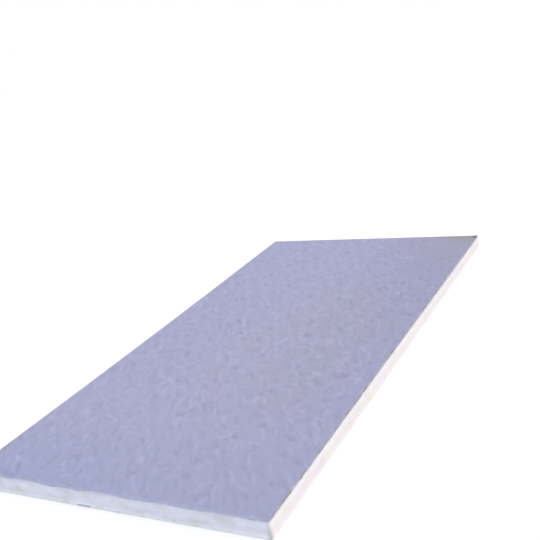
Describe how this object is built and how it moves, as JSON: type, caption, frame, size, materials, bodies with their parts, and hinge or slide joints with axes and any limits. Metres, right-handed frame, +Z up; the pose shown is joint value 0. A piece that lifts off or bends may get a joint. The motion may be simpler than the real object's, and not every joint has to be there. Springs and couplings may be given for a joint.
{
  "type": "polyiso insulation board",
  "caption": "Rigid foam roof insulation board, square edged, with a fibre facer bonded to its top and underside.",
  "frame": {"origin": "centre of the underside, on the surface that the board lies on", "axes": "+X across the board's width, +Y along its length, +Z up through its thickness to the top facer"},
  "size_m": [1.2192, 2.4384, 0.066],
  "materials": {
    "facer": "matt coated glass-fibre mat, lavender grey, with a fine random strand texture",
    "foam": "matt sawn closed-cell foam, near white with a faint cream tint"
  },
  "bodies": {
    "root": {"bottom_facer": "facer", "foam_core": "foam", "top_facer": "facer"}
  },
  "joints": []
}
